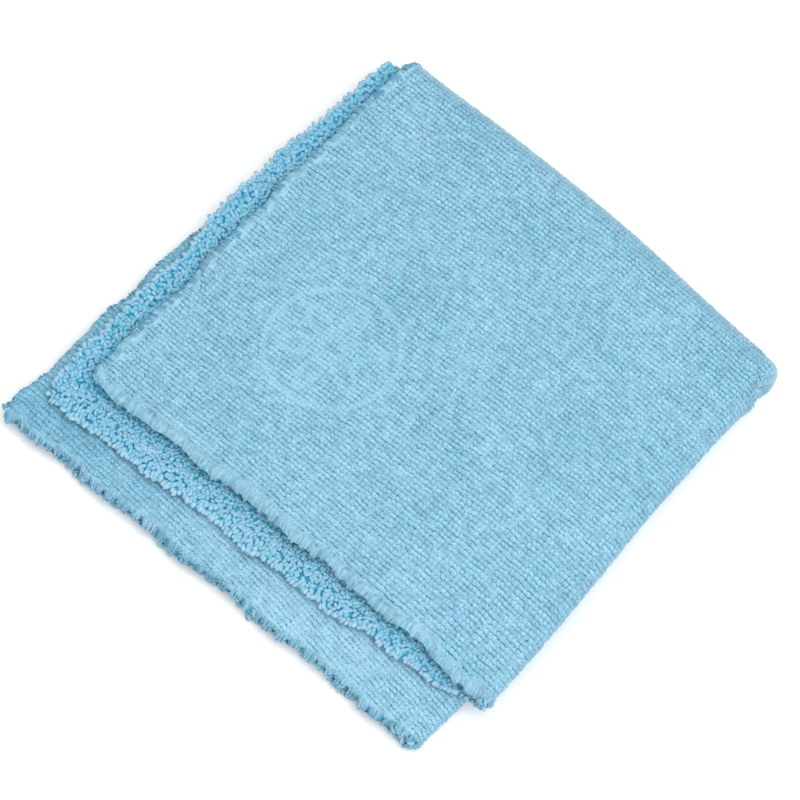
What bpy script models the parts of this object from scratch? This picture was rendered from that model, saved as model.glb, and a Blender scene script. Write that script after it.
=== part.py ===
"""A microfibre cloth folded in quarters and lying flat, as one closed solid.

The cloth is a knit ground with a loop pile on its other side. It was folded once along X, with its
pile inside, and then once along Y, so four layers lie on each other, a little apart. The side fold
is at +X, the back fold at +Y, and the cut edges show at -X (left) and -Y (front), stepped outwards
from the top layer down. Blender 4.5, metres, +Z up, standing on Z = 0.
"""

import math
from collections import namedtuple

import bmesh
import bpy
import numpy as np

MM = 0.001

# One layer of cloth and the air between two layers, mm
LAYER = 4.4
GAP = 0.5

# Steps of the mesh: flat stretches from an edge to a fold, and the half turns of the folds
ACROSS_STEPS = 22
BACK_STEPS = 21
SIDE_TURN_STEPS = 8
BACK_TURN_STEPS = 9

# X of each layer's left edge and of the side fold's outer face, mm. A row for each station on the
# way from the back fold (away = 0) to the front edge (away = 1).
Sides = namedtuple("Sides", "away top second third bottom upper_fold lower_fold")
SIDES = (
    Sides(0.0, -87.5, -95.0, -95.0, -87.5, 106.0, 106.0),
    Sides(0.2, -88.5, -98.5, -98.5, -94.0, 105.5, 105.0),
    Sides(0.4, -89.0, -101.5, -102.0, -99.0, 103.5, 103.0),
    Sides(0.6, -88.5, -99.5, -105.0, -102.0, 104.5, 101.0),
    Sides(0.8, -88.0, -100.5, -106.0, -103.5, 106.0, 98.0),
    Sides(1.0, -90.0, -99.5, -107.5, -104.0, 106.5, 95.0),
)

# Y of the back fold's outer face and of each layer's front edge, mm. A row for each X.
Fronts = namedtuple("Fronts", "x back top second third bottom")
FRONTS = (
    Fronts(-107.0, 112.5, -75.0, -91.0, -102.5, -102.5),
    Fronts(-65.0, 111.0, -76.0, -90.0, -102.0, -103.0),
    Fronts(-20.0, 110.0, -75.0, -88.0, -102.0, -102.5),
    Fronts(25.0, 107.5, -74.5, -87.0, -102.0, -102.5),
    Fronts(65.0, 103.5, -75.5, -84.5, -102.0, -103.0),
    Fronts(106.0, 98.5, -78.5, -80.5, -104.0, -105.5),
)

# Radius that wear has given each layer's free corner, mm
CORNERS = {"top": 11.0, "second": 6.0, "third": 2.0, "bottom": 5.0}

# Uneven run of the cut edges, mm: waves laid over each other, each layer's starting elsewhere
Wave = namedtuple("Wave", "height length shift")
RUFFLE = (Wave(0.7, 41.0, 1.0), Wave(0.4, 23.0, 2.3))
RUFFLE_STARTS = {"top": 0.0, "second": 0.35, "third": 0.6, "bottom": 0.85}
RUFFLE_FADE = 0.25     # share of the way from the back fold over which a left edge's ruffle grows

# How the stack is thicker or thinner than its layers, as shares of its height, and how far in mm
PLUMP, PLUMP_REACH = 0.045, 30.0       # beside the back fold, which holds four layers
DENT, DENT_WIDTH, DENT_LENGTH = 0.022, 19.0, 27.0
LEAN, LEAN_LENGTH = 0.015, 33.0        # a soft wave across the whole stack

# Colour and finish of the cloth
BLUE = (0.275, 0.558, 0.723, 1.0)
ROUGHNESS = 0.95

EDGE_LENGTH = 200.0    # nominal length of a layer's left edge, mm
TINY = 1e-9            # keeps a share defined where both its lengths are nought

HALF_PAIR = GAP / 2 + LAYER + GAP / 2      # from the stack's middle plane to a pair's own middle
HALF_STACK = HALF_PAIR + GAP / 2 + LAYER   # from the stack's middle plane to its outer face


def clear_scene():
    """Remove every object that the file opened with."""
    for thing in list(bpy.data.objects):
        bpy.data.objects.remove(thing, do_unlink=True)


def curve_through(rows, station, column, at):
    """Value of a table's column at each `at`: a cubic Hermite curve through the table's rows."""
    stations = np.array([getattr(row, station) for row in rows])
    values = np.array([getattr(row, column) for row in rows])
    slopes = np.gradient(values, stations)
    at = np.clip(at, stations[0], stations[-1])
    cell = np.clip(np.searchsorted(stations, at, side="right") - 1, 0, len(stations) - 2)
    width = stations[cell + 1] - stations[cell]
    t = (at - stations[cell]) / width
    rise = (1 + 2 * t) * (1 - t) ** 2 * values[cell] + t * t * (3 - 2 * t) * values[cell + 1]
    lean = t * (1 - t) ** 2 * slopes[cell] - t * t * (1 - t) * slopes[cell + 1]
    return rise + width * lean


def ruffle(along, start):
    """Uneven run of a cut edge, mm, at each place `along` it, mm: the waves of RUFFLE added up."""
    return sum(wave.height * np.sin(2 * math.pi * (along / wave.length + wave.shift * start))
               for wave in RUFFLE)


def swell(x, y):
    """Share by which the stack is thicker than its layers: plump at the back fold, softly dented."""
    back = curve_through(FRONTS, "x", "back", x)
    plump = PLUMP * np.exp(-(((y - back) / PLUMP_REACH) ** 2))
    dents = DENT * np.sin(x / DENT_WIDTH) * np.sin(y / DENT_LENGTH)
    return plump + dents + LEAN * np.sin((x + y) / LEAN_LENGTH)


def path(flat_steps, turn_steps):
    """Stations over a fold, as rows of (away, turn).

    `away` falls from 1 at one free edge to 0 at the fold, then `turn` runs from 0 to pi around it,
    and `away` grows again to 1 at the other free edge.
    """
    flat = np.linspace(1.0, 0.0, flat_steps + 1)
    turn = np.linspace(0.0, math.pi, turn_steps + 1)
    coming = [(away, 0.0) for away in flat[:-1]]
    going = [(away, math.pi) for away in flat[::-1][1:]]
    return np.array(coming + [(0.0, angle) for angle in turn] + going)


def blend(turn, first, last):
    """`first` before the fold, `last` behind it, and a steady change along its turn."""
    share = turn / math.pi
    return first * (1 - share) + last * share


def corner_push(from_left, from_front, radius):
    """How far a worn corner moves its places inwards, in X and in Y.

    A place at a given distance from the corner's middle, counted along the farther side, goes to
    that distance from it in a straight line, so the square corner becomes a quarter of a disc.
    """
    side = np.clip(radius - from_left, 0.0, radius)
    front = np.clip(radius - from_front, 0.0, radius)
    kept = np.maximum(side, front) / np.maximum(np.hypot(side, front), TINY)
    return side * (1 - kept), front * (1 - kept)


def layer_place(layer, fold, side_away, back_away, bulge):
    """X and Y of one layer, mm: its left edge and side fold from SIDES, the others from FRONTS.

    `bulge` is how far a point stands out beyond the side fold's own axis.
    """
    start = RUFFLE_STARTS[layer]
    axis = curve_through(SIDES, "away", fold, back_away) - (GAP / 2 + LAYER)
    fade = np.clip(back_away / RUFFLE_FADE, 0.0, 1.0)
    left = (curve_through(SIDES, "away", layer, back_away)
            + ruffle(back_away * EDGE_LENGTH, start) * fade)
    x = axis - side_away * (axis - left) + bulge
    back = curve_through(FRONTS, "x", "back", x) - HALF_STACK
    front = curve_through(FRONTS, "x", layer, x) + ruffle(x, start + 0.5)
    y = back - back_away * (back - front)
    push_x, push_y = corner_push((1 - side_away) * (axis - left),
                                 (1 - back_away) * (back - front), CORNERS[layer])
    return x + push_x, y + push_y


def cloth_points(face):
    """Grid of the folded cloth's points in mm, on its knit face (face = 1) or pile face (face = 0).

    Columns run over the side fold, from the outer layers' left edge to the inner layers' left edge.
    Rows run over the back fold, from the top pair's front edge to the bottom pair's front edge.
    """
    side_away, side_turn = (part[None, :] for part in path(ACROSS_STEPS, SIDE_TURN_STEPS).T)
    back_away, back_turn = (part[:, None] for part in path(BACK_STEPS, BACK_TURN_STEPS).T)
    radius = GAP / 2 + face * LAYER
    bulge = radius * np.sin(side_turn)
    height = HALF_PAIR + radius * np.cos(side_turn)
    places = {}
    for layer, fold in (("top", "upper_fold"), ("second", "upper_fold"),
                        ("third", "lower_fold"), ("bottom", "lower_fold")):
        places[layer] = layer_place(layer, fold, side_away, back_away, bulge)
    x, y = (blend(back_turn, blend(side_turn, places["top"][axis], places["second"][axis]),
                  blend(side_turn, places["bottom"][axis], places["third"][axis]))
            for axis in (0, 1))
    y = y + height * np.sin(back_turn)
    z = HALF_STACK + height * np.cos(back_turn)
    return np.stack([x, y, z * (1 + swell(x, y))], axis=-1)


def centred(*grids):
    """The grids moved so that their common box has its middle on the Z axis."""
    every = np.concatenate([grid.reshape(-1, 3) for grid in grids])
    middle = (every.min(axis=0) + every.max(axis=0)) / 2
    shift = np.array([middle[0], middle[1], 0.0])
    return [grid - shift for grid in grids]


def add_grid(mesh, points, flip):
    """Add one face of the cloth as quads and return its vertices as rows."""
    rows = [[mesh.verts.new(point * MM) for point in row] for row in points]
    for low, high in zip(rows, rows[1:]):
        for column in range(len(low) - 1):
            corners = [low[column], low[column + 1], high[column + 1], high[column]]
            mesh.faces.new(corners[::-1] if flip else corners)
    return rows


def rim_of(rows):
    """Vertices around a grid's border, in order."""
    right = [row[-1] for row in rows[1:-1]]
    left = [row[0] for row in rows[-2:0:-1]]
    return rows[0] + right + rows[-1][::-1] + left


def make_cloth():
    """Build the cloth: its knit face, its pile face and the cut edge between them."""
    knit, pile = centred(cloth_points(face=1), cloth_points(face=0))
    mesh = bmesh.new()
    knit_rim = rim_of(add_grid(mesh, knit, flip=True))
    pile_rim = rim_of(add_grid(mesh, pile, flip=False))
    for i in range(len(knit_rim)):
        mesh.faces.new([knit_rim[i - 1], knit_rim[i], pile_rim[i], pile_rim[i - 1]])
    bmesh.ops.recalc_face_normals(mesh, faces=mesh.faces)
    data = bpy.data.meshes.new("cloth")
    mesh.to_mesh(data)
    mesh.free()
    cloth = bpy.data.objects.new("cloth", data)
    bpy.context.scene.collection.objects.link(cloth)
    return cloth


def microfibre():
    """Material of the cloth: matt light blue."""
    material = bpy.data.materials.new("microfibre")
    material.use_nodes = True
    shader = material.node_tree.nodes["Principled BSDF"]
    shader.inputs["Base Color"].default_value = BLUE
    shader.inputs["Roughness"].default_value = ROUGHNESS
    shader.inputs["Metallic"].default_value = 0.0
    return material


clear_scene()
make_cloth().data.materials.append(microfibre())
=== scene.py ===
"""Looks of a folded microfibre cloth: its knit, its loop pile and its cut edges, with a pale floor,
soft light and the camera. Lengths are in millimetres until a mesh is made, which takes metres."""

import math
from collections import namedtuple

import bpy
import numpy as np
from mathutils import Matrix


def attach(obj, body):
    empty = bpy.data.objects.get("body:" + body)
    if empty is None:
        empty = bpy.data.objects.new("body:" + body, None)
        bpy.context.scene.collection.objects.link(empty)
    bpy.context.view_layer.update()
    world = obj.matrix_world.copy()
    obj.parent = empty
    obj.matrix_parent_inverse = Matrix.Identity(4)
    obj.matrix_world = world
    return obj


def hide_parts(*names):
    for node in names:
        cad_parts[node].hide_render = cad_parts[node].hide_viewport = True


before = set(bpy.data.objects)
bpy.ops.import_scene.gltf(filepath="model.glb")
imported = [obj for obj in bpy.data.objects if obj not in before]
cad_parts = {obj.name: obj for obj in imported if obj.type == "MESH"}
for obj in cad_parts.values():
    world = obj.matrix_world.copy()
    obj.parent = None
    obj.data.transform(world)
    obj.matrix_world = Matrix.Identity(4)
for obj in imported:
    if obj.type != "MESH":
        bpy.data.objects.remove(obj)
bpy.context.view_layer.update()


# === The cloth =====================================================================================
# One square of double-faced microfibre, 40 cm each way: a flat pebbled knit on one side, a pile of
# short twisted loops on the other. It is cut with no hem, folded over its side with the pile inside,
# and then over its back, so that four layers lie on each other with the knit outermost.

MM = 0.001
LAYER = 4.4            # knit ground with its pile
GROUND = 1.6           # the knit ground alone
GAP = 0.5              # air between two layers
PITCH = 1.95           # one stitch of the knit, along and across

HALF_PAIR = GAP / 2 + LAYER + GAP / 2
HALF_STACK = HALF_PAIR + GAP / 2 + LAYER

# X of each layer's left edge and of the side fold, a row for each share of the way from the back
# fold (away = 0) to the front edge (away = 1)
Sides = namedtuple("Sides", "away top second third bottom upper_fold lower_fold")
SIDES = (
    Sides(0.0, -87.5, -95.0, -95.0, -87.5, 105.5, 105.5),
    Sides(0.2, -88.5, -98.5, -98.5, -94.0, 105.2, 102.0),
    Sides(0.4, -89.0, -101.5, -102.0, -99.0, 104.4, 100.5),
    Sides(0.6, -89.0, -99.5, -105.0, -102.0, 105.6, 100.0),
    Sides(0.8, -88.8, -100.5, -106.0, -103.5, 106.6, 98.0),
    Sides(1.0, -90.6, -99.5, -107.5, -104.0, 106.5, 95.0),
)

# Y of the back fold and of each layer's front edge, a row for each X
Fronts = namedtuple("Fronts", "x back top second third bottom")
FRONTS = (
    Fronts(-107.0, 112.5, -75.0, -91.0, -102.5, -102.5),
    Fronts(-65.0, 111.0, -76.0, -90.0, -102.0, -103.0),
    Fronts(-20.0, 110.0, -75.0, -88.0, -102.0, -102.5),
    Fronts(25.0, 107.5, -75.2, -87.0, -102.0, -102.5),
    Fronts(65.0, 103.0, -76.4, -84.5, -102.0, -103.0),
    Fronts(106.0, 97.8, -79.3, -80.5, -104.0, -105.5),
)

# What is each layer's own: its turns around the side fold and the back fold, its size, the radius of
# its free corner, where its ruffle starts, how far its ground stops short of the outline at the left
# and at the front, how far its edge lifts, how its cut edge puffs up, and the widths of its fuzz
Layer = namedtuple("Layer", "side_turn back_turn fold width depth corner start left_inset front_inset "
                            "lift puff left_band front_band")
LAYERS = {
    "top": Layer(0.0, 0.0, "upper_fold", 190.0, 176.0, 4.0, 0.0, 0.6, 1.2, 0.9, 0.75, 4.0, 4.5),
    "second": Layer(math.pi, 0.0, "upper_fold", 202.0, 188.0, 6.0, 0.35, 1.2, 2.6, 0.9, 0.1, 2.5, 3.0),
    "third": Layer(math.pi, math.pi, "lower_fold", 205.0, 202.0, 2.0, 0.6, -0.4, 0.3, 0.4, 0.1, 1.0, 1.4),
    "bottom": Layer(0.0, math.pi, "lower_fold", 203.0, 203.0, 5.0, 0.85, 2.0, 2.4, 0.0, 0.0, 2.5, 3.0),
}

Wave = namedtuple("Wave", "height length shift")
RUFFLE = (Wave(0.7, 41.0, 1.0), Wave(0.4, 23.0, 2.3), Wave(0.22, 9.7, 3.1))
RUFFLE_GROWTH = 0.25   # share of the way from the back fold over which a left edge's ruffle grows
RUFFLE_REACH = 14.0    # how far in from a cut edge it is still felt

# How a layer's edges lift off the one below: the length of the sine along them over 2 pi, and how far
# in it is felt
Lift = namedtuple("Lift", "wave reach")
FRONT_LIFT, LEFT_LIFT = Lift(8.3, 9.0), Lift(11.0, 8.0)

# The fuzzy band along a cut edge: the share by which it widens for a millimetre of ruffle, how many
# times as fast that ruffle runs, the groove behind it as a share of its puff, and how the knit drops
# to the very edge
BAND_UNEVEN, BAND_RHYTHM = 0.38, 4.0
GROOVE, GROOVE_WIDTH = 0.6, 0.8
EDGE_DROP, EDGE_DROP_REACH = 1.1, 2.6

# Swelling of the whole stack, as shares of its height and in mm: plump beside the back fold, a
# product of sines for soft dents, and a slanting sine
PLUMP, PLUMP_REACH = 0.045, 30.0
DENT, DENT_WIDTH, DENT_LENGTH = 0.022, 19.0, 27.0
LEAN, LEAN_LENGTH = 0.015, 33.0
TINY = 1e-9            # keeps a share defined where both its lengths are nought

ROW_BOW, ROW_SLANT = 0.035, 0.015      # of the knit's rows against the cloth, as shares of X

# Dents pressed in by hand, a row for each: where, how wide in X and long in Y, how far it pushes the
# side fold inwards, and by what share it lowers the cloth
Dent = namedtuple("Dent", "x y wide long inwards down")
DENTS = (
    Dent(107.0, 86.0, 6.0, 2.6, 2.8, 0.06),
    Dent(107.0, 74.0, 7.0, 5.0, 0.8, 0.03),
    Dent(109.0, 56.0, 12.0, 12.0, 0.8, 0.02),
    Dent(72.0, 100.0, 34.0, 16.0, 0.0, 0.08),
    Dent(62.0, 52.0, 9.0, 24.0, 0.0, 0.035),
    Dent(-20.0, 62.0, 26.0, 7.0, 0.0, 0.03),
    Dent(8.0, -30.0, 16.0, 9.0, 0.0, 0.025),
    Dent(94.0, -38.0, 4.5, 38.0, 0.0, 0.040),
    Dent(90.0, 30.0, 8.0, 14.0, 0.0, 0.025),
)

# Where the pile is made loop by loop, because it shows: how far in from the left and front edges
Margin = namedtuple("Margin", "left front")
MARGINS = {"top": Margin(8, 8), "second": Margin(15, 18.5), "third": Margin(9, 9), "bottom": Margin(9, 9)}
GROUND_RISE = {"top": 2.8, "second": 2.4, "third": 2.8, "bottom": 2.4}   # of their ground above its tips
MARGIN_EASE = 6.0      # width over which the ground takes back its full depth behind them

# Steps of the mesh: fine beside the cut edges over this width, double over twice that, then coarse
FINE_WIDTH, FINE_STEP, COARSE_STEP = 9.0, 0.75, 2.6
SIDE_LENGTH, SIDE_TURN_STEPS = 200.0, 14
BACK_LENGTH, BACK_TURN_STEPS = 195.0, 16


def curve_through(rows, station, column, at):
    """Value of a table's column at each `at`: a cubic Hermite curve through the table's rows, with
    each row's slope taken between its neighbours."""
    stations = np.array([getattr(row, station) for row in rows])
    values = np.array([getattr(row, column) for row in rows])
    slopes = np.gradient(values, stations)
    at = np.clip(at, stations[0], stations[-1])
    cell = np.clip(np.searchsorted(stations, at, side="right") - 1, 0, len(stations) - 2)
    width = stations[cell + 1] - stations[cell]
    t = (at - stations[cell]) / width
    rise = (1 + 2 * t) * (1 - t) ** 2 * values[cell] + t * t * (3 - 2 * t) * values[cell + 1]
    slant = t * (1 - t) ** 2 * slopes[cell] - t * t * (1 - t) * slopes[cell + 1]
    return rise + width * slant


def ease(share):
    """0 below 0, 1 above 1, and the smooth step 3s^2 - 2s^3 between them."""
    share = np.clip(share, 0.0, 1.0)
    return share * share * (3 - 2 * share)


def near(distance, reach):
    """Nearness from 1 down to 0: the Gaussian exp(-(distance / reach)^2)."""
    return np.exp(-((distance / reach) ** 2))


def ruffle(along, start):
    """Uneven run of a cut edge: the sines of RUFFLE added up, each of its own length."""
    return sum(wave.height * np.sin(2 * math.pi * (along / wave.length + wave.shift * start))
               for wave in RUFFLE)


def swell(x, y):
    """Share by which the stack is thicker than its layers: a Gaussian beside the back fold, plus a
    product of sines for soft dents and a slanting sine across the whole."""
    back = curve_through(FRONTS, "x", "back", x)
    plump = PLUMP * near(y - back, PLUMP_REACH)
    dents = DENT * np.sin(x / DENT_WIDTH) * np.sin(y / DENT_LENGTH)
    return plump + dents + LEAN * np.sin((x + y) / LEAN_LENGTH)


def corner_push(from_left, from_front, radius):
    """How far a worn corner moves its places inwards, in X and in Y: the square corner becomes a
    quarter of a disc, each place keeping the larger of its two distances as its own radius."""
    side = np.clip(radius - from_left, 0.0, radius)
    front = np.clip(radius - from_front, 0.0, radius)
    kept = np.maximum(side, front) / np.maximum(np.hypot(side, front), TINY)
    return side * (1 - kept), front * (1 - kept)


Spot = namedtuple("Spot", "x y lift from_left from_front width depth")


def layer_spot(name, side_away, back_away, bulge, inset):
    """One layer's places: X, Y and lift, and in mm of cloth how far they lie from its straight left
    and front edges and how wide and deep it is. X runs in a straight line from the side fold's axis to
    the left edge of SIDES, Y from the back fold's axis to the front edge of FRONTS, both by share
    away; ruffle and worn corner are added, fading inwards, and so are the lifting sines."""
    own = LAYERS[name]
    axis = curve_through(SIDES, "away", own.fold, back_away) - (GAP / 2 + LAYER)
    width = axis - curve_through(SIDES, "away", name, back_away) - inset * own.left_inset
    x = axis - side_away * width + bulge
    back = curve_through(FRONTS, "x", "back", x) - HALF_STACK
    depth = back - curve_through(FRONTS, "x", name, x) - inset * own.front_inset
    y = back - back_away * depth
    left, front = (1 - side_away) * width, (1 - back_away) * depth
    grown = np.clip(back_away / RUFFLE_GROWTH, 0.0, 1.0)
    push_x, push_y = corner_push(left, front, own.corner)
    push_x = push_x + ruffle(front, own.start) * grown * near(left, RUFFLE_REACH)
    push_y = push_y + ruffle(x, own.start + 0.5) * near(front, RUFFLE_REACH)
    at_front = (0.5 + 0.5 * np.sin(x / FRONT_LIFT.wave + own.start)) * near(front, FRONT_LIFT.reach)
    at_left = (0.5 + 0.5 * np.sin(y / LEFT_LIFT.wave)) * near(left, LEFT_LIFT.reach)
    lift = own.lift * (at_front + at_left)
    return Spot(x + push_x, y + push_y, lift, left + push_x, front + push_y, width, depth)


def blend(turn, first, last):
    """`first` before a fold, `last` behind it, and a steady change along its half turn."""
    share = turn / math.pi
    return first * (1 - share) + last * share


def over_folds(side_turn, back_turn, by_layer):
    """The four layers' own values as one field over the sheet, blended around both folds."""
    upper = blend(side_turn, by_layer["top"], by_layer["second"])
    lower = blend(side_turn, by_layer["bottom"], by_layer["third"])
    return blend(back_turn, upper, lower)


def dented(x, y):
    """How far the soft dents of DENTS push the cloth inwards in X, in Y and down: a Gaussian hollow
    around each one's place."""
    hollows = [near(x - dent.x, dent.wide) * near(y - dent.y, dent.long) for dent in DENTS]
    return (sum(dent.inwards * hollow for dent, hollow in zip(DENTS, hollows)),
            sum(dent.down * hollow for dent, hollow in zip(DENTS, hollows)))


def folded(side_away, side_turn, back_away, back_turn, height, inset=1.0):
    """Points of the folded cloth. `height` counts from the pile's tips (0) to the knit (LAYER): it is
    the radius around the side fold's axis, and with that axis's own height the radius around the
    back fold. `inset` 1 keeps to the ground's cut edge, 0 to the whole cloth's outline."""
    radius = GAP / 2 + height
    bulge = radius * np.sin(side_turn)
    rise = HALF_PAIR + radius * np.cos(side_turn)
    spots = {name: layer_spot(name, side_away, back_away, bulge, inset) for name in LAYERS}
    x, y, lift = (over_folds(side_turn, back_turn, {name: spots[name][part] for name in LAYERS})
                  for part in range(3))
    y = y + rise * np.sin(back_turn)
    z = (HALF_STACK + rise * np.cos(back_turn)) * (1 + swell(x, y)) + lift
    inwards, down = dented(x, y)
    return np.stack(np.broadcast_arrays(x - inwards, y, z * (1 - down)), axis=-1)


def path(length, turn_steps):
    """Stations over a fold as arrays of share away and turn: close together beside the cut edges,
    wider apart further in, and evenly spaced around the half turn."""
    coarse_from = FINE_WIDTH * 3
    fine = np.arange(0.0, FINE_WIDTH, FINE_STEP)
    double = np.arange(FINE_WIDTH, coarse_from, FINE_STEP * 2)
    coarse = np.linspace(coarse_from, length, int((length - coarse_from) / COARSE_STEP) + 1)
    away = 1 - np.concatenate([fine, double, coarse]) / length
    turn = np.linspace(0.0, math.pi, turn_steps + 1)
    shares = np.concatenate([away[:-1], np.zeros(turn_steps + 1), away[::-1][1:]])
    turns = np.concatenate([np.zeros(len(away) - 1), turn, np.full(len(away) - 1, math.pi)])
    return shares, turns


def distances(name, side_away, back_away):
    """Distances of a layer's places from its left and from its front edge."""
    own = LAYERS[name]
    return (1 - side_away) * own.width, (1 - back_away) * own.depth


def fuzzy_band(name, edge, along):
    """Width of a layer's fuzzy band and height of its puff, at its left (edge 0) or front edge (edge 1)
    by place along it: both grow and shrink with the sines of RUFFLE, run faster. The left edge puffs
    up half as high."""
    own = LAYERS[name]
    uneven = 1 + BAND_UNEVEN * ruffle(BAND_RHYTHM * along, own.start + edge)
    width, puff = ((own.left_band, own.puff / 2), (own.front_band, own.puff))[edge]
    return width * uneven, puff * uneven


def edge_profile(name, edge, along, distance):
    """Height of the knit beside a cut edge against its height inside: half a sine over the fuzzy
    band, a Gaussian groove behind it, and a parabola that drops to the very edge."""
    band, puff = fuzzy_band(name, edge, along)
    roll = puff * np.sin(math.pi * np.clip(distance / band, 0.0, 1.0))
    groove = GROOVE * puff * near(distance - band, GROOVE_WIDTH)
    return roll - groove - EDGE_DROP * np.clip(1 - distance / EDGE_DROP_REACH, 0.0, 1.0) ** 2


def knit_height(name, side_away, back_away):
    """Height of a layer's knit face, from the profiles of both its cut edges."""
    from_left, from_front = distances(name, side_away, back_away)
    return (LAYER + edge_profile(name, 0, from_front, from_left)
            + edge_profile(name, 1, from_left, from_front))


def pile_height(name, side_away, back_away):
    """Height of a layer's pile face: that of the felted ground in the margins whose loops are made
    one by one, and nothing further in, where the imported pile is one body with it."""
    margin = MARGINS[name]
    from_left, from_front = distances(name, side_away, back_away)
    inside = np.minimum(from_left - margin.left, from_front - margin.front) / MARGIN_EASE
    return GROUND_RISE[name] * (1 - ease(inside))


def stitches(side_away, side_turn, back_away, back_turn):
    """Place in the knit, in stitches: arc length along the knit face from the outer layers' left edge
    and from the top layer's front edge, on around the folds. A row keeps its Y over the side fold, and
    the rows lie a little askew to the cloth, by a sine from front to back."""
    radius = GAP / 2 + LAYER
    top, second, third, bottom = (layer_spot(name, side_away, back_away, radius * np.sin(side_turn), 1.0)
                                  for name in LAYERS)
    across = {"top": top.from_left, "second": top.width + radius * math.pi + second.width
              - second.from_left, "bottom": bottom.from_left,
              "third": bottom.width + radius * math.pi + third.width - third.from_left}
    turned = top.depth + HALF_STACK * math.pi + bottom.depth
    along = {"top": top.from_front, "second": second.from_front + top.depth - second.depth,
             "bottom": turned - bottom.from_front,
             "third": turned - third.from_front - bottom.depth + third.depth}
    askew = top.x * (ROW_BOW * np.sin(math.pi * (1 - back_away)) - ROW_SLANT * back_away)
    return np.stack(np.broadcast_arrays(
        over_folds(side_turn, back_turn, across),
        over_folds(side_turn, back_turn, along) - askew), axis=-1) / PITCH


def border(grid):
    """A grid's outermost cells in order around it, along its last axis when it has one."""
    return np.concatenate([grid[0], grid[1:-1, -1], grid[-1, ::-1], grid[-2:0:-1, 0]])


def quads(lower, upper):
    """Quads between two closed rings of vertex numbers."""
    return np.stack([lower, upper, np.roll(upper, -1), np.roll(lower, -1)], axis=-1)


def new_piece(name, points, face_lists, materials):
    """A smooth mesh object of points in millimetres, ridden on the cloth's body. Each of `face_lists`
    holds faces of one length."""
    data = bpy.data.meshes.new(name)
    data.from_pydata((points - CENTRE) * MM, [], [face for faces in face_lists for face in faces.tolist()])
    for material in materials:
        data.materials.append(material)
    data.shade_smooth()
    piece = bpy.data.objects.new(name, data)
    bpy.context.scene.collection.objects.link(piece)
    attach(piece, "root")
    return piece


def set_map(piece, name, places):
    """Store a place of two numbers for each vertex as a UV map."""
    data = piece.data
    corner = np.empty(len(data.loops), dtype=np.int32)
    data.loops.foreach_get("vertex_index", corner)
    layer = data.uv_layers.new(name=name)
    layer.data.foreach_set("uv", places[corner].astype(np.float32).ravel())


side_away, side_turn = (part[None, :] for part in path(SIDE_LENGTH, SIDE_TURN_STEPS))
back_away, back_turn = (part[:, None] for part in path(BACK_LENGTH, BACK_TURN_STEPS))
spread = (side_away, side_turn, back_away, back_turn)

outline = np.concatenate([folded(*spread, height, inset=0.0).reshape(-1, 3) for height in (0.0, LAYER)])
middle = (outline.min(axis=0) + outline.max(axis=0)) / 2
CENTRE = np.array([middle[0], middle[1], 0.0])

knit_up, pile_up = (over_folds(side_turn, back_turn,
                               {name: face(name, side_away, back_away) for name in LAYERS})
                    for face in (knit_height, pile_height))
knit_face, pile_face = folded(*spread, knit_up), folded(*spread, pile_up)
rows, columns = knit_face.shape[:2]
numbers = np.arange(rows * columns).reshape(rows, columns)
cells = np.stack([numbers[:-1, :-1], numbers[:-1, 1:], numbers[1:, 1:], numbers[1:, :-1]],
                 axis=-1).reshape(-1, 4)

# The cut edge between both faces is rounded: rings that stand out as half a sine
RIM_SHARES, RIM_BULGE = (0.2, 0.5, 0.8), 0.5
rim_spread = [border(np.broadcast_to(part, (rows, columns))) for part in spread]
rim_up, rim_down = border(knit_up), border(pile_up)
rim_rings = [folded(*rim_spread, rim_up + share * (rim_down - rim_up),
                    inset=1.0 - RIM_BULGE * math.sin(math.pi * share)) for share in RIM_SHARES]
around = len(rim_up)
rings = ([border(numbers)] + [2 * rows * columns + ring * around + np.arange(around)
                              for ring in range(len(RIM_SHARES))]
         + [border(numbers) + rows * columns])
rim_cells = np.concatenate([quads(lower, upper) for lower, upper in zip(rings, rings[1:])])
points = np.concatenate([knit_face.reshape(-1, 3), pile_face.reshape(-1, 3)] + rim_rings)
faces = np.concatenate([cells, cells[:, ::-1] + rows * columns, rim_cells])

knit_places = stitches(*spread).reshape(-1, 2)
rim_places = border(knit_places.reshape(rows, columns, 2))
from_edges = {name: distances(name, side_away, back_away) for name in LAYERS}
band_shares = np.stack([over_folds(side_turn, back_turn, {
    name: off[edge] / fuzzy_band(name, edge, off[1 - edge])[0] for name, off in from_edges.items()})
    for edge in (0, 1)], axis=-1).reshape(-1, 2)
rim_bands = border(band_shares.reshape(rows, columns, 2))


def feed(tree, sockets, values):
    """Give each socket its value: another socket to link or a number or colour to set, and None
    leaves it."""
    for socket, value in zip(sockets, values):
        if isinstance(value, bpy.types.NodeSocket):
            tree.links.new(value, socket)
        elif value is not None:
            socket.default_value = value


def add(tree, kind, *inputs, **settings):
    """Add a node with these settings, and feed its inputs in order."""
    node = tree.nodes.new(kind)
    for name, value in settings.items():
        setattr(node, name, value)
    feed(tree, node.inputs, inputs)
    return node


def sums(tree, operation, *inputs):
    """Output of one Math node."""
    return add(tree, "ShaderNodeMath", *inputs, operation=operation).outputs[0]


def remap(tree, value, low, high, start=0.0, end=1.0):
    """Value taken from low..high to start..end in a smooth step, held at both ends."""
    node = add(tree, "ShaderNodeMapRange", value, low, high, start, end,
               interpolation_type="SMOOTHSTEP")
    return node.outputs["Result"]


def mix(tree, share, first, second):
    """Number between `first` and `second` by `share`."""
    node = add(tree, "ShaderNodeMix", share, data_type="FLOAT")
    feed(tree, node.inputs[2:4], (first, second))
    return node.outputs[0]


def tint(tree, share, first, second, way="MIX"):
    """Colour between `first` and `second` by `share`, or the first one multiplied by the second."""
    node = add(tree, "ShaderNodeMix", share, data_type="RGBA", blend_type=way)
    feed(tree, node.inputs[6:8], (first, second))
    return node.outputs[2]


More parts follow.
